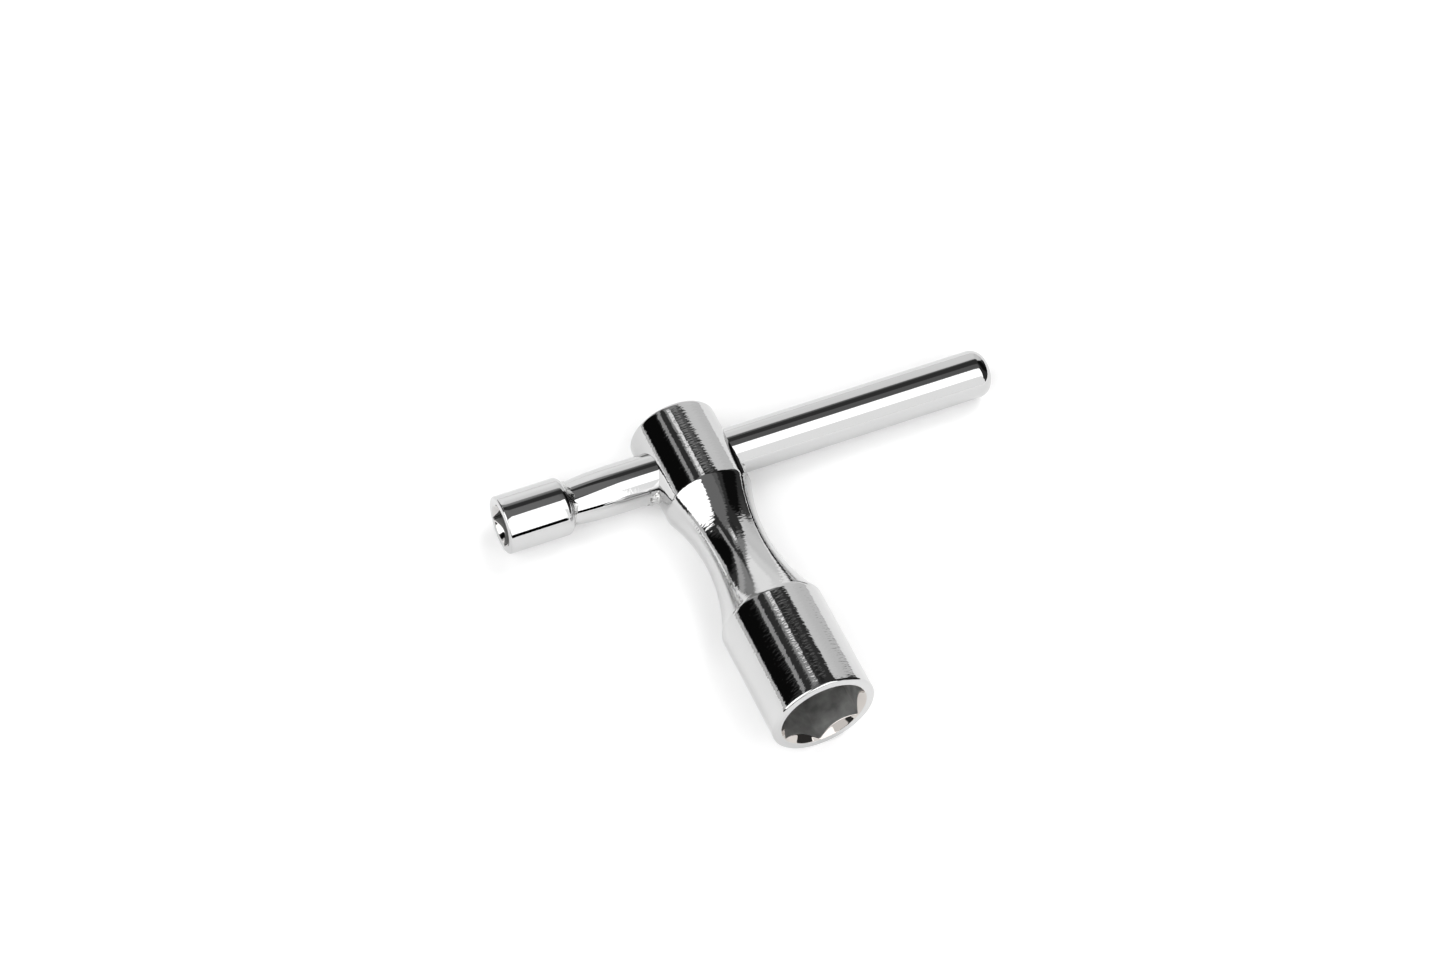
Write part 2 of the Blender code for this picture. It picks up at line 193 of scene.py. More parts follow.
def make_studio():
    """World light from soft-edged cards laid one over the other in a dark room.

    A card is the part of the sky on the inner side of every edge, and an edge is the plane
    through the key and two corners, so the ray's share along the plane's normal says how far
    inside it is. To the camera itself the room is plain white.
    """
    world = bpy.data.worlds.new("studio")
    bpy.context.scene.world = world
    world.use_nodes = True
    nodes, links = world.node_tree.nodes, world.node_tree.links
    nodes.clear()
    ray = nodes.new("ShaderNodeTexCoord").outputs["Generated"]

    def inside_edge(normal, softness):
        share = nodes.new("ShaderNodeVectorMath")
        share.operation = "DOT_PRODUCT"
        links.new(ray, share.inputs[0])
        share.inputs[1].default_value = tuple(normal)
        ramp = nodes.new("ShaderNodeMapRange")
        ramp.interpolation_type = "SMOOTHSTEP"
        ramp.inputs["From Min"].default_value = -np.sin(np.radians(softness)) / 2
        ramp.inputs["From Max"].default_value = np.sin(np.radians(softness)) / 2
        links.new(share.outputs["Value"], ramp.inputs["Value"])
        return ramp.outputs["Result"]

    def both(first, second):
        product = nodes.new("ShaderNodeMath")
        product.operation = "MULTIPLY"
        links.new(first, product.inputs[0])
        links.new(second, product.inputs[1])
        return product.outputs[0]

    light = nodes.new("ShaderNodeValue").outputs[0]
    light.default_value = DARK_ROOM
    for corners, softness, brightness in STUDIO_CARDS.values():
        corners = [studio_direction(*corner) for corner in corners]
        middle = unit(sum(corners))
        cover = inside_edge(middle, softness)
        for corner, following in zip(corners, corners[1:] + corners[:1]):
            normal = unit(np.cross(corner, following))
            cover = both(cover, inside_edge(normal * np.sign(normal @ middle), softness))
        mix = nodes.new("ShaderNodeMix")
        mix.data_type = "FLOAT"
        links.new(cover, mix.inputs["Factor"])
        links.new(light, mix.inputs["A"])
        mix.inputs["B"].default_value = brightness
        light = mix.outputs["Result"]
    room = nodes.new("ShaderNodeBackground")
    links.new(light, room.inputs["Strength"])
    plain = nodes.new("ShaderNodeBackground")
    seen = nodes.new("ShaderNodeLightPath")
    pick = nodes.new("ShaderNodeMixShader")
    links.new(seen.outputs["Is Camera Ray"], pick.inputs["Fac"])
    links.new(room.outputs[0], pick.inputs[1])
    links.new(plain.outputs[0], pick.inputs[2])
    output = nodes.new("ShaderNodeOutputWorld")
    links.new(pick.outputs[0], output.inputs["Surface"])


make_studio()


def make_far_lamp():
    """A broad soft lamp high behind the key, whose light throws the faint shadow in front of it."""
    lamp = bpy.data.objects.new("far_lamp", bpy.data.lights.new("far_lamp", "SUN"))
    lamp.data.energy = FAR_LAMP_POWER
    lamp.data.angle = np.radians(FAR_LAMP_SPREAD)
    lamp.visible_glossy = False
    toward = Vector(studio_direction(*FAR_LAMP_AT))
    lamp.rotation_euler = toward.to_track_quat("Z", "Y").to_euler()
    bpy.context.scene.collection.objects.link(lamp)


make_far_lamp()

# ======================================================================
# Socket stem
# One steel bar end, turned in a lathe to a socket, a waisted neck and a
# collar. The mouth is chamfered, then a hexagon is broached into it. The
# collar is drilled across for the bar, and the whole is bright plated.
# ======================================================================
MM = 0.001
STEM_LENGTH = 57.85
SOCKET_RADIUS = 8.50
COLLAR_RADIUS = 7.30
WAIST_RADIUS = 5.38
WAIST_ARC = 30.0
WAIST_AT = -25.45
EDGE_ROUND = 0.60
SHOULDER_ROUND = 1.6
LIP_ROUND = 0.42
LEAD_RADIUS = 7.15
LEAD_ROUND = 0.12
HEX_ACROSS_FLATS = 12.10
HEX_CORNER_ROUND = 0.25
HEX_CREASE_ROUND = 0.16
HEX_DEPTH = 13.0
BAR_AT = -7.43
BAR_RADIUS = 3.93
HOLE_CLEARANCE = 0.06
STEM_COLUMNS = 320
FIELD_ROWS = 57
HOLE_RINGS = 13
HOLE_WALL_ROWS = 11
WAIST_POINTS = 29
WAIST_ROUND = 8.0
CORNER_CROWDING = 0.62
CREASE_DEGREES = 38.0
STEM_MARKS = (3000.0, 1.6e-5, 8.0e-6)
CHAMFER_MARKS = (900.0, 2.4e-5, 3.0e-5)
CHROME = (0.56, 0.56, 0.56)


def turned_path(corners, rounds, step, fine):
    """An open line through the corners with each inner corner turned by an arc of its round.

    The straight runs are divided about every step and the arcs every fine, both in millimetres.
    """
    points = [np.asarray(corners[0], float)]
    for before, corner, after, radius in zip(corners, corners[1:], corners[2:], rounds):
        corner = np.asarray(corner, float)
        back, on = unit(np.subtract(before, corner)), unit(np.subtract(after, corner))
        half = np.arccos(np.clip(back @ on, -1, 1)) / 2
        run = radius / np.tan(half)
        centre = corner + unit(back + on) * radius / np.sin(half)
        first, last = corner + back * run - centre, corner + on * run - centre
        turn = np.pi - 2 * half
        spin = np.sign(first[0] * last[1] - first[1] * last[0])
        share = np.linspace(0, 1, max(3, int(np.ceil(radius * turn / fine)) + 1))[:, None]
        angle = share * turn * spin
        turned = np.cos(angle) * first + np.sin(angle) * np.array([-first[1], first[0]])
        points += list(divided(points[-1], corner + back * run, step))
        points += list(centre + turned[1:])
    points += list(divided(points[-1], np.asarray(corners[-1], float), step))
    return np.array(points)


def divided(start, end, step):
    """Points from just after start to end, evenly spaced about every step."""
    count = max(1, int(np.ceil(np.linalg.norm(np.subtract(end, start)) / step)))
    share = np.arange(1, count + 1)[:, None] / count
    return np.asarray(start) + share * np.subtract(end, start)


def column_angles(count, sides, crowding, corner):
    """Angles once round, crowded towards the corners of a many-sided socket that has one at corner.

    An even angle t becomes t minus crowding times sin(sides * (t - corner)) over sides.
    """
    t = np.arange(count) * 2 * np.pi / count
    return t - crowding * np.sin(sides * (t - corner)) / sides


def flats_radius(angle, sides, across_flats, corner_angle, corner_round):
    """Distance from the axis to a many-sided hole's wall, its corners eased by a smooth minimum.

    A flat's distance is half the across flats over the cosine of the angle from the flat's middle,
    and near a corner the two flats' distances are blended over corner_round.
    """
    pitch = 2 * np.pi / sides
    near = np.mod(angle - corner_angle, pitch)
    half = across_flats / 2
    first = half / np.maximum(np.cos(near - pitch / 2), 1e-3)
    next_flat = half / np.maximum(np.cos(pitch - near + pitch / 2), 1e-3)
    last_flat = half / np.maximum(np.cos(near + pitch / 2), 1e-3)
    other = np.minimum(np.where(next_flat > 0, next_flat, 99.0), np.where(last_flat > 0, last_flat, 99.0))
    blend = np.maximum(corner_round - np.abs(first - other), 0.0)
    return np.minimum(first, other) - blend ** 2 / (4 * corner_round)


def eased(before, corner, after, ease, count):
    """A corner of three point rows turned by a parabola that starts and ends at distance ease."""
    back, on = before - corner, after - corner
    back_length = np.linalg.norm(back, axis=-1, keepdims=True)
    on_length = np.linalg.norm(on, axis=-1, keepdims=True)
    start = corner + back * np.minimum(ease / np.maximum(back_length, 1e-9), 0.9)
    end = corner + on * np.minimum(ease / np.maximum(on_length, 1e-9), 0.9)
    share = np.linspace(0, 1, count)[:, None, None]
    return (1 - share) ** 2 * start + 2 * share * (1 - share) * corner + share ** 2 * end


def between(first, last, count):
    """Rows evenly spaced after first, up to but not including last."""
    share = np.arange(1, count + 1)[:, None, None] / (count + 1)
    return first + share * (last - first)


def socket_rows(angle, mouth_radius, lead_radius, walls, depth, crease, counts):
    """Rows (radius, depth) that run from the lip down a lead-in cone and a many-sided wall to the floor.

    The 45 degree cone starts at lead_radius and meets the wall where its radius has come down
    to the wall's, so that each side has its own scallop.
    """
    cone = np.full_like(angle, lead_radius)
    cone_depth = np.maximum(cone - walls, 0.02)
    mouth = np.stack([np.maximum(cone, walls + 0.02), np.zeros_like(angle)], -1)
    lip = np.stack([np.full_like(angle, mouth_radius), np.zeros_like(angle)], -1)
    meet = np.stack([walls, cone_depth], -1)
    low = np.stack([walls, np.full_like(angle, depth)], -1)
    middle = np.stack([np.zeros_like(angle), np.full_like(angle, depth)], -1)
    lip_turn = eased(lip, mouth, meet, LEAD_ROUND, 5)
    wall_turn = eased(mouth, meet, low, crease, 7)
    floor_turn = eased(meet, low, middle, 0.2, 4)
    ring, cone_rows, wall_rows, floor_rows = counts
    return np.concatenate([
        between(lip, lip_turn[0], ring), lip_turn,
        between(lip_turn[-1], wall_turn[0], cone_rows), wall_turn,
        between(wall_turn[-1], floor_turn[0], wall_rows), floor_turn,
        between(floor_turn[-1], middle, floor_rows), middle[None],
    ])


def round_axis_y(radius, angle, y):
    """Points of a surface turned about the Y axis."""
    radius, angle, y = np.broadcast_arrays(radius, angle, y)
    return np.stack([radius * np.cos(angle), y, radius * np.sin(angle)], -1)


def sheet_faces(rows, columns, closed):
    """Quads of a grid with that many rows and columns, its last column joined to its first if closed."""
    last = columns if closed else columns - 1
    row, column = np.meshgrid(np.arange(rows - 1), np.arange(last), indexing="ij")
    right = (column + 1) % columns
    return np.stack([row * columns + column, row * columns + right,
                     (row + 1) * columns + right, (row + 1) * columns + column], -1).reshape(-1, 4)


def skin(name, sheets, sharp_degrees):
    """One closed piece from (points, closed) pairs in millimetres, whose shared edges are welded."""
    points, faces, start = [], [], 0
    for grid, closed in sheets:
        rows, columns = grid.shape[:2]
        points.append(grid.reshape(-1, 3))
        faces.append(sheet_faces(rows, columns, closed) + start)
        start += rows * columns
    mesh = bpy.data.meshes.new(name)
    mesh.from_pydata(np.concatenate(points) * MM, [], np.concatenate(faces))
    shape = bmesh.new()
    shape.from_mesh(mesh)
    bmesh.ops.remove_doubles(shape, verts=shape.verts, dist=1e-7)
    bmesh.ops.dissolve_degenerate(shape, edges=shape.edges, dist=1e-8)
    bmesh.ops.recalc_face_normals(shape, faces=shape.faces)
    shape.to_mesh(mesh)
    shape.free()
    mesh.shade_smooth()
    mesh.set_sharp_from_angle(angle=np.radians(sharp_degrees))
    piece = bpy.data.objects.new(name, mesh)
    bpy.context.scene.collection.objects.link(piece)
    return piece


def stem_outline():
    """The stem's outside as (radius, y) points from the middle of the end face to the lip."""
    def arc_reach(radius):
        return np.sqrt(WAIST_ARC ** 2 - (WAIST_RADIUS + WAIST_ARC - radius) ** 2)
    top, bottom = WAIST_AT + arc_reach(COLLAR_RADIUS), WAIST_AT - arc_reach(SOCKET_RADIUS)
    y = np.linspace(top, bottom, WAIST_POINTS)
    waist = np.stack([WAIST_RADIUS + WAIST_ARC - np.sqrt(WAIST_ARC ** 2 - (y - WAIST_AT) ** 2), y], -1)
    corners = [(0, 0), (COLLAR_RADIUS, 0), *waist, (SOCKET_RADIUS, -STEM_LENGTH), (LEAD_RADIUS, -STEM_LENGTH)]
    rounds = [EDGE_ROUND, SHOULDER_ROUND, *[WAIST_ROUND] * (WAIST_POINTS - 2), SHOULDER_ROUND, LIP_ROUND]
    return turned_path(corners, rounds, 0.9, 0.09)


def make_stem():
    """The outline and the socket turned about the stem's axis, with the cross hole let into the collar."""
    angle = column_angles(STEM_COLUMNS, 6, CORNER_CROWDING, np.pi / 2)
    quarter = STEM_COLUMNS // 8
    reach = COLLAR_RADIUS * np.sin(angle[quarter])
    high, low = BAR_AT + reach, BAR_AT - reach
    field_y = np.linspace(high, low, FIELD_ROWS)
    outline = stem_outline()
    above = outline[outline[:, 1] > high + 0.01]
    below = outline[outline[:, 1] < low - 0.01]
    lip_start = np.argmax(np.abs(below[:, 1] + STEM_LENGTH) < 1e-6)
    below = below[:lip_start + 1]
    above = np.vstack([above, (COLLAR_RADIUS, high)])
    below = np.vstack([(COLLAR_RADIUS, low), below])
    walls = flats_radius(angle, 6, HEX_ACROSS_FLATS, np.pi / 2, HEX_CORNER_ROUND)
    inside = socket_rows(angle, SOCKET_RADIUS - LIP_ROUND, LEAD_RADIUS, walls,
                         HEX_DEPTH, HEX_CREASE_ROUND, (5, 9, 26, 8))
    sheets = [
        (round_axis_y(above[:, :1], angle, above[:, 1:]), True),
        (round_axis_y(below[:, :1], angle, below[:, 1:]), True),
        (round_axis_y(inside[..., 0], angle, inside[..., 1] - STEM_LENGTH), True),
    ]
    lip_edge = round_axis_y(below[-1:, :1], angle, below[-1:, 1:])
    sheets.append((np.concatenate([lip_edge, sheets[2][0][:1]]), True))
    for first in (quarter, 5 * quarter):
        columns = angle[first:first + 2 * quarter + 1]
        sheets.append((round_axis_y(COLLAR_RADIUS, columns, field_y[:, None]), False))

    # The skin round each end of the cross hole runs from a square field to the hole's edge.
    side = COLLAR_RADIUS * np.sin(np.concatenate([angle[-quarter:] - 2 * np.pi, angle[:quarter + 1]]))
    field = np.concatenate([
        np.stack([side[:-1], np.full(2 * quarter, high)], -1),
        np.stack([np.full(FIELD_ROWS - 1, side[-1]), field_y[:-1]], -1),
        np.stack([side[:0:-1], np.full(2 * quarter, low)], -1),
        np.stack([np.full(FIELD_ROWS - 1, side[0]), field_y[:0:-1]], -1),
    ])
    turn = np.arctan2(field[:, 1] - BAR_AT, field[:, 0])
    hole = BAR_RADIUS + HOLE_CLEARANCE
    edge = np.stack([hole * np.cos(turn), BAR_AT + hole * np.sin(turn)], -1)
    share = np.linspace(0, 1, HOLE_RINGS)[:, None, None]
    place = field + (edge - field) * share
    out = np.sqrt(COLLAR_RADIUS ** 2 - place[..., 0] ** 2)
    for sign in (1, -1):
        sheets.append((np.stack([sign * out, place[..., 1], place[..., 0]], -1), True))
    across = np.linspace(1, -1, HOLE_WALL_ROWS)[:, None]
    wall = np.stack(np.broadcast_arrays(across * out[-1], edge[:, 1], edge[:, 0]), -1)
    sheets.append((wall, True))
    return skin("socket_stem_finished", sheets, CREASE_DEGREES)


stem = make_stem()


def plated_chrome(name, turned_about, marks_per_metre, mark_depth, wave_depth, colour):
    """Bright plating: near-mirror metal whose fine tool marks run round the turning axis.

    The marks are a noise squeezed along the axis, the wave is a broad soft noise under the plating,
    and the roughness and tint drift a little with two larger noises.
    """
    material = bpy.data.materials.new(name)
    material.use_nodes = True
    nodes, links = material.node_tree.nodes, material.node_tree.links
    shader = nodes["Principled BSDF"]
    shader.inputs["Metallic"].default_value = 1.0
    place = nodes.new("ShaderNodeTexCoord").outputs["Object"]

    def noise(scale, detail, stretch):
        mapping = nodes.new("ShaderNodeMapping")
        mapping.inputs["Scale"].default_value = stretch
        links.new(place, mapping.inputs["Vector"])
        texture = nodes.new("ShaderNodeTexNoise")
        texture.inputs["Scale"].default_value = scale
        texture.inputs["Detail"].default_value = detail
        links.new(mapping.outputs["Vector"], texture.inputs["Vector"])
        return texture.outputs["Fac"]

    def ramp(value, low, high):
        node = nodes.new("ShaderNodeMapRange")
        links.new(value, node.inputs["Value"])
        node.inputs["From Min"].default_value = 0.3
        node.inputs["From Max"].default_value = 0.7
        node.inputs["To Min"].default_value = low
        node.inputs["To Max"].default_value = high
        return node.outputs["Result"]

    along = {"X": (1.0, 0.45, 0.45), "Y": (0.45, 1.0, 0.45)}[turned_about]
    marks = noise(marks_per_metre, 1.0, along)
    wave = noise(260.0, 1.0, (1.0, 1.0, 1.0))
    links.new(ramp(noise(420.0, 3.0, (1.0, 1.0, 1.0)), 0.018, 0.045), shader.inputs["Roughness"])
    tint = nodes.new("ShaderNodeMix")
    tint.data_type = "RGBA"
    tint.inputs["A"].default_value = (*colour, 1.0)
    tint.inputs["B"].default_value = (*[c * 1.05 for c in colour], 1.0)
    links.new(noise(150.0, 2.0, (1.0, 1.0, 1.0)), tint.inputs["Factor"])
    links.new(tint.outputs["Result"], shader.inputs["Base Color"])
    broad = nodes.new("ShaderNodeBump")
    broad.inputs["Strength"].default_value = 1.0
    broad.inputs["Distance"].default_value = wave_depth
    links.new(wave, broad.inputs["Height"])
    fine = nodes.new("ShaderNodeBump")
    fine.inputs["Strength"].default_value = 1.0
    fine.inputs["Distance"].default_value = mark_depth
    links.new(marks, fine.inputs["Height"])
    links.new(broad.outputs["Normal"], fine.inputs["Normal"])
    links.new(fine.outputs["Normal"], shader.inputs["Normal"])
    return material


def broached_steel(name, drawn_along, colour):
    """The dull inside of a broached socket: thin plating over scored steel.

    Noise stretched along the broach's travel gives the scores, and a broad one the stains.
    """
    material = bpy.data.materials.new(name)
    material.use_nodes = True
    nodes, links = material.node_tree.nodes, material.node_tree.links
    shader = nodes["Principled BSDF"]
    shader.inputs["Metallic"].default_value = 0.45
    place = nodes.new("ShaderNodeTexCoord").outputs["Object"]
    stretch = nodes.new("ShaderNodeMapping")
    stretch.inputs["Scale"].default_value = {"X": (0.1, 1, 1), "Y": (1, 0.1, 1)}[drawn_along]
    links.new(place, stretch.inputs["Vector"])
    scores = nodes.new("ShaderNodeTexNoise")
    scores.inputs["Scale"].default_value = 2600.0
    scores.inputs["Detail"].default_value = 4.0
    links.new(stretch.outputs["Vector"], scores.inputs["Vector"])
    stains = nodes.new("ShaderNodeTexNoise")
    stains.inputs["Scale"].default_value = 380.0
    stains.inputs["Detail"].default_value = 5.0
    links.new(place, stains.inputs["Vector"])
    tint = nodes.new("ShaderNodeMix")
    tint.data_type = "RGBA"
    tint.inputs["A"].default_value = (*[c * 0.65 for c in colour], 1.0)
    tint.inputs["B"].default_value = (*[c * 1.35 for c in colour], 1.0)
    patchy = nodes.new("ShaderNodeMapRange")
    patchy.inputs["From Min"].default_value = 0.32
    patchy.inputs["From Max"].default_value = 0.68
    links.new(stains.outputs["Fac"], patchy.inputs["Value"])
    links.new(patchy.outputs["Result"], tint.inputs["Factor"])
    links.new(tint.outputs["Result"], shader.inputs["Base Color"])
    rough = nodes.new("ShaderNodeMapRange")
    rough.inputs["From Min"].default_value = 0.3
    rough.inputs["From Max"].default_value = 0.7
    rough.inputs["To Min"].default_value = 0.30
    rough.inputs["To Max"].default_value = 0.48
    links.new(scores.outputs["Fac"], rough.inputs["Value"])
    links.new(rough.outputs["Result"], shader.inputs["Roughness"])
    bump = nodes.new("ShaderNodeBump")
    bump.inputs["Distance"].default_value = 1.5e-5
    links.new(scores.outputs["Fac"], bump.inputs["Height"])
    links.new(bump.outputs["Normal"], shader.inputs["Normal"])
    return material


def give_finishes(piece, outside, scallops, walls, depth_of, lead_radius):
    """Outside, lead-in scallops and socket walls each take their own finish.

    A face belongs to the socket if it lies inside the lead-in's rim, and to its walls
    if it also lies deeper than the lead-in cone reaches at that distance from the axis.
    """
    for material in (outside, scallops, walls):
        piece.data.materials.append(material)
    centres = np.zeros(len(piece.data.polygons) * 3, np.float32)
    piece.data.polygons.foreach_get("center", centres)
    depth, radius = depth_of(centres.reshape(-1, 3) / MM)
    socket = (depth > 0.01) & (radius < lead_radius - 0.02) & (depth < HEX_DEPTH + 1)
    wall = socket & (depth > lead_radius - radius + 0.03)
    piece.data.polygons.foreach_set("material_index", (socket.astype(np.int32) + wall).astype(np.int32))
    piece.data.update()


def stem_depth(centres):
    """How deep in the stem's socket and how far from its axis each point lies."""
    return centres[:, 1] + STEM_LENGTH, np.hypot(centres[:, 0], centres[:, 2])


give_finishes(stem, plated_chrome("chrome_on_the_stem", "Y", *STEM_MARKS, CHROME),
              plated_chrome("chamfer_nickel", "Y", *CHAMFER_MARKS, (0.52, 0.49, 0.465)),
              broached_steel("broached_hexagon", "Y", (0.30, 0.30, 0.295)), stem_depth, LEAD_RADIUS)
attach(stem, "root")
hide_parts("socket_stem")

# ======================================================================
# Cross bar
# A round steel rod, domed at its plain end. The other arm swells a little
# and necks down where the small socket head is brazed on. It is plated too.
# ======================================================================
BAR_REACH = 52.3
DOME_ROUND = 2.40
ROOT_AT = -3.65
SWELL_AT = -13.0
SWELL_RADIUS = 4.0
ARM_NECK_RADIUS = 3.50
HEAD_BACK = -21.3
SPIGOT_RADIUS = 2.60
SPIGOT_END = -23.0
BAR_COLUMNS = 160
BAR_MARKS = (3000.0, 1.6e-6, 6.0e-6)


def round_bar_axis(x, angle, radius):
    """Points of a surface turned about the bar's axis."""
    x, angle, radius = np.broadcast_arrays(x, angle, radius)
    return np.stack([x, BAR_AT + radius * np.cos(angle), radius * np.sin(angle)], -1)


def arm_radius(x):
    """The short arm's radius: a parabola from the bar's size up to the swell, then down to the neck."""
    inner = SWELL_RADIUS - (SWELL_RADIUS - BAR_RADIUS) * ((x - SWELL_AT) / (ROOT_AT - SWELL_AT)) ** 2
    outer = SWELL_RADIUS - (SWELL_RADIUS - ARM_NECK_RADIUS) * ((x - SWELL_AT) / (HEAD_BACK - SWELL_AT)) ** 2
    return np.where(x > SWELL_AT, inner, outer)


def make_bar():
    """The bar's outline from the dome's middle to the spigot's, turned about the bar's axis."""
    arm_x = np.linspace(ROOT_AT, HEAD_BACK + 0.05, 70)
    arm = np.stack([arm_radius(arm_x), arm_x], -1)
    dome = turned_path([(0, BAR_REACH), (BAR_RADIUS, BAR_REACH), arm[0]], [DOME_ROUND], 0.8, 0.1)
    spigot = [(SPIGOT_RADIUS, HEAD_BACK + 0.05), (SPIGOT_RADIUS, SPIGOT_END), (0.0, SPIGOT_END)]
    outline = np.vstack([dome, arm[1:], spigot])
    angle = np.arange(BAR_COLUMNS) * 2 * np.pi / BAR_COLUMNS
    sheet = round_bar_axis(outline[:, 1:], angle, outline[:, :1])
    return skin("cross_bar_finished", [(sheet, True)], CREASE_DEGREES)


bar = make_bar()
bar.data.materials.append(plated_chrome("chrome_on_the_bar", "X", *BAR_MARKS, CHROME))
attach(bar, "root")
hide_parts("cross_bar")

# ======================================================================
# Square socket head
# A short turned steel sleeve brazed on the arm's neck, with a round back
# edge, a chamfered mouth and a square broached a little out of line.
# ======================================================================
HEAD_RADIUS = 4.70
HEAD_MOUTH = -32.3
HEAD_SHOULDER = 1.10
HEAD_LIP = 0.30
HEAD_LEAD_RADIUS = 3.45
SQUARE_ACROSS_FLATS = 5.20
SQUARE_TURN = np.radians(13.0)
SQUARE_DEPTH = 7.8
BORE_RADIUS = 2.90
BORE_END = -23.9
HEAD_COLUMNS = 240
HEAD_CROWDING = 0.6
HEAD_MARKS = (3000.0, 1.4e-6, 5.0e-6)
HEAD_CHAMFER_MARKS = (1200.0, 6.0e-6, 2.0e-5)


def make_head():
    """The head's outside from its bore to its lip, then its square socket down to the floor."""
    corner = np.pi / 4 + SQUARE_TURN
    angle = column_angles(HEAD_COLUMNS, 4, HEAD_CROWDING, corner)
    corners = [(0.0, BORE_END), (BORE_RADIUS, BORE_END), (BORE_RADIUS, HEAD_BACK), (HEAD_RADIUS, HEAD_BACK),
               (HEAD_RADIUS, HEAD_MOUTH), (HEAD_LEAD_RADIUS, HEAD_MOUTH)]
    outline = turned_path(corners, [0.1, 0.1, HEAD_SHOULDER, HEAD_LIP], 0.7, 0.09)
    lip_start = np.argmax((np.abs(outline[:, 1] - HEAD_MOUTH) < 1e-6) & (outline[:, 0] > HEAD_LEAD_RADIUS))
    outline = outline[:lip_start + 1]
    walls = flats_radius(angle, 4, SQUARE_ACROSS_FLATS, corner, 0.2)
    inside = socket_rows(angle, HEAD_RADIUS - HEAD_LIP, HEAD_LEAD_RADIUS, walls,
                         SQUARE_DEPTH, 0.12, (5, 7, 20, 6))
    outer_sheet = round_bar_axis(outline[:, 1:], angle, outline[:, :1])
    inner_sheet = round_bar_axis(HEAD_MOUTH + inside[..., 1], angle, inside[..., 0])
    joint = np.concatenate([outer_sheet[-1:], inner_sheet[:1]])
    sheets = [(outer_sheet, True), (joint, True), (inner_sheet, True)]
    return skin("square_socket_head_finished", sheets, CREASE_DEGREES)


head = make_head()


def head_depth(centres):
    """How deep in the head's socket and how far from the bar's axis each point lies."""
    depth = centres[:, 0] - HEAD_MOUTH
    inside = np.where(depth < SQUARE_DEPTH + 0.1, depth, -1.0)
    return inside, np.hypot(centres[:, 1] - BAR_AT, centres[:, 2])


give_finishes(head, plated_chrome("chrome_on_the_head", "X", *HEAD_MARKS, CHROME),
              plated_chrome("chamfer_of_the_head", "X", *HEAD_CHAMFER_MARKS, (0.60, 0.59, 0.58)),
              broached_steel("broached_square", "X", (0.26, 0.26, 0.255)), head_depth, HEAD_LEAD_RADIUS)
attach(head, "root")
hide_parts("square_socket_head")

# ======================================================================
# Braze
# Brass braze that ran round the bar where it enters the collar and where
# the head sits on the arm, then was plated over: low, lumpy and pitted.
# ======================================================================
LUMP_SEED = 12
LUMP_COUNT = 90
LUMP_SIZE = 0.55
BRAZE_COLUMNS = 240
BRAZE_ROWS = 22
UNDER_ROWS = 3
BRAZE_CREASE_DEGREES = 60.0


def lumps(turn, reach, count, size, seed):
    """Smooth bumps and pits on a ring: a sum of round bells at seeded places.

    A bell at (t, r) adds height * exp(-d squared), where d is the distance in bell sizes
    between the point and the bell, with the turn about the bar counted in millimetres of arc.
    """
    draw = np.random.default_rng(seed)
    places = draw.uniform(0, 2 * np.pi, count), draw.uniform(0, 1, count)
    heights = draw.uniform(-1, 1, count)
    total = np.zeros(np.broadcast(turn, reach).shape)
    for at_turn, at_reach, height in zip(*places, heights):
        arc = np.angle(np.exp(1j * (turn - at_turn))) * BAR_RADIUS / size
        total = total + height * np.exp(-arc ** 2 - ((reach - at_reach) * 2.0 / size) ** 2)
    return total


def window(turn, middle, half, soft):
    """1 within half of middle, falling smoothly to 0 over soft, all in degrees round the bar."""
    away = np.abs(np.degrees(np.angle(np.exp(1j * (turn - np.radians(middle))))))
    share = np.clip((half + soft - away) / soft, 0, 1)
    return share * share * (3 - 2 * share)


def make_braze(name, foot_radius, wall_x, leg, height, roughness, seed, outward):
    """A ring of braze round the bar's axis whose free face climbs from a toe on the bar to a wall.

    For each turn about the bar the section runs from the toe, up a hollow curve with lumps
    on it, into the wall, and back under the bar's surface.
    """
    turn = np.arange(BRAZE_COLUMNS)[:, None] * 2 * np.pi / BRAZE_COLUMNS
    share = np.linspace(0, 1, BRAZE_ROWS)[None, :]
    long, tall = leg(turn), height(turn)
    radius = foot_radius(turn) - 0.03 + (tall + 0.03) * share ** 2.2
    lumpy = lumps(turn, share, LUMP_COUNT, LUMP_SIZE, seed) * np.sin(np.pi * share) ** 0.7
    radius = radius + roughness * lumpy * (tall > 0.02)
    x = wall_x(turn, radius) + outward * (long * (1 - share) ** 1.3 - 0.08)
    under_radius = np.broadcast_to(foot_radius(turn) - 0.35, (BRAZE_COLUMNS, UNDER_ROWS))
    under_x = wall_x(turn, radius[:, -1:]) + outward * (long * np.linspace(0, 1, UNDER_ROWS)[None, :] - 0.25)
    section_radius = np.concatenate([radius, under_radius], axis=1)
    section_x = np.concatenate([x, under_x], axis=1)
    ring = round_bar_axis(section_x, turn, section_radius)
    return skin(name, [(np.concatenate([ring, ring[:1]]), True)], BRAZE_CREASE_DEGREES)


def collar_side(sign):
    """The collar's surface beside the bar, at a turn about the bar and a distance from its axis."""
    def wall(turn, radius):
        return sign * np.sqrt(COLLAR_RADIUS ** 2 - (radius * np.sin(turn)) ** 2)
    return wall


def head_side(turn, radius):
    """The head's back face, whose rounded edge falls away towards the head's outside."""
    past = np.clip(radius - (HEAD_RADIUS - HEAD_SHOULDER), 0, HEAD_SHOULDER)
    return HEAD_BACK - (HEAD_SHOULDER - np.sqrt(HEAD_SHOULDER ** 2 - past ** 2))


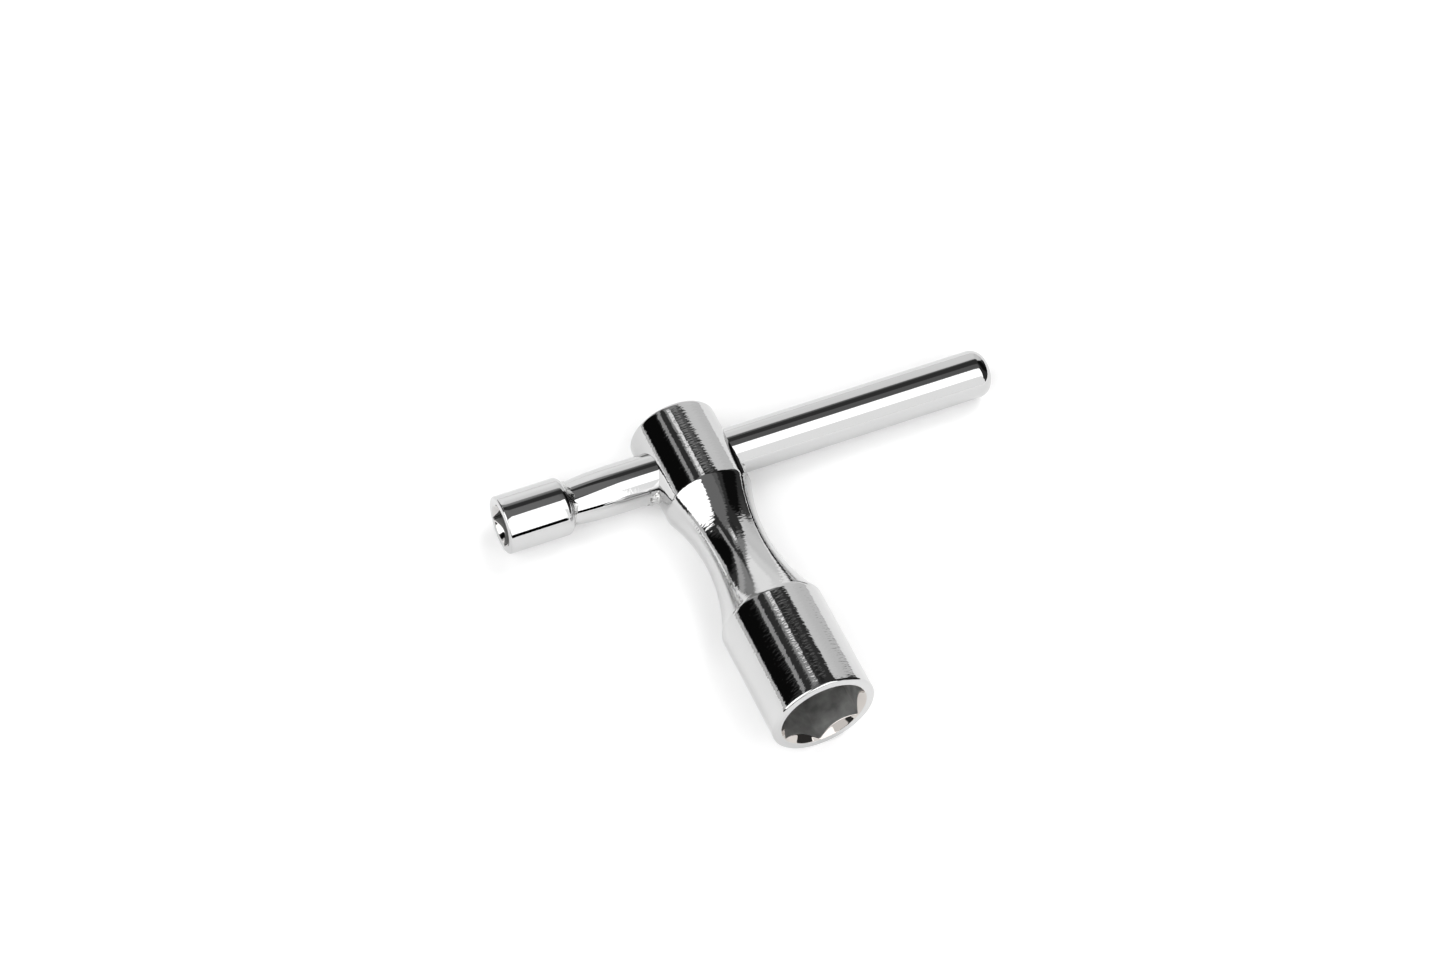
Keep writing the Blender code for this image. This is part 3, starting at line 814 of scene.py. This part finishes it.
def plated_braze(name):
    """Plating over rough braze: smoother on the lumps, and darkened in the pits between them by painted
    shade.
    """
    material = bpy.data.materials.new(name)
    material.use_nodes = True
    nodes, links = material.node_tree.nodes, material.node_tree.links
    shader = nodes["Principled BSDF"]
    shader.inputs["Metallic"].default_value = 1.0
    place = nodes.new("ShaderNodeTexCoord").outputs["Object"]
    grain = nodes.new("ShaderNodeTexNoise")
    grain.inputs["Scale"].default_value = 1500.0
    grain.inputs["Detail"].default_value = 5.0
    links.new(place, grain.inputs["Vector"])
    ramp = nodes.new("ShaderNodeMapRange")
    ramp.inputs["From Min"].default_value = 0.35
    ramp.inputs["From Max"].default_value = 0.65
    ramp.inputs["To Min"].default_value = 0.34
    ramp.inputs["To Max"].default_value = 0.14
    links.new(grain.outputs["Fac"], ramp.inputs["Value"])
    links.new(ramp.outputs["Result"], shader.inputs["Roughness"])
    tint = nodes.new("ShaderNodeMix")
    tint.data_type = "RGBA"
    tint.inputs["A"].default_value = (0.11, 0.108, 0.10, 1.0)
    tint.inputs["B"].default_value = (0.60, 0.60, 0.595, 1.0)
    # Painted shade: where the grain is low, in the pits of the bump, the colour falls to near black.
    painted_pit_shade = nodes.new("ShaderNodeMapRange")
    painted_pit_shade.inputs["From Min"].default_value = 0.34
    painted_pit_shade.inputs["From Max"].default_value = 0.46
    links.new(grain.outputs["Fac"], painted_pit_shade.inputs["Value"])
    links.new(painted_pit_shade.outputs["Result"], tint.inputs["Factor"])
    links.new(tint.outputs["Result"], shader.inputs["Base Color"])
    bump = nodes.new("ShaderNodeBump")
    bump.inputs["Distance"].default_value = 9.0e-5
    links.new(grain.outputs["Fac"], bump.inputs["Height"])
    links.new(bump.outputs["Normal"], shader.inputs["Normal"])
    return material


def bar_foot(turn):
    """The bar's plain radius, all round."""
    return np.full_like(turn, BAR_RADIUS)


def swollen_foot(turn):
    """The short arm's radius beside the collar, all round."""
    return np.full_like(turn, float(arm_radius(np.array(-COLLAR_RADIUS))))


def neck_foot(turn):
    """The arm's radius beside the head, all round."""
    return np.full_like(turn, ARM_NECK_RADIUS + 0.05)


braze_finish = plated_braze("plating_on_braze")
right_braze = make_braze("right_braze", bar_foot, collar_side(1),
                         lambda turn: 0.3 + 1.4 * window(turn, 186, 18, 20),
                         lambda turn: -0.02 + 0.36 * window(turn, 186, 16, 20), 0.08, LUMP_SEED, 1)
left_braze = make_braze("left_braze", swollen_foot, collar_side(-1),
                        lambda turn: 0.3 + 1.9 * window(turn, 196, 24, 16),
                        lambda turn: -0.02 + 0.85 * window(turn, 196, 22, 16), 0.30, LUMP_SEED + 1, -1)
head_braze = make_braze("head_braze", neck_foot, head_side,
                        lambda turn: 1.5 + 0.5 * np.sin(3 * turn + 1.0),
                        lambda turn: 0.45 + 0.12 * np.sin(2 * turn), 0.16, LUMP_SEED + 2, 1)
for piece, node in ((right_braze, "right_braze_bead"), (left_braze, "left_braze_bead"),
                    (head_braze, "head_braze_bead")):
    piece.data.materials.append(braze_finish)
    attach(piece, "root")
    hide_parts(node)
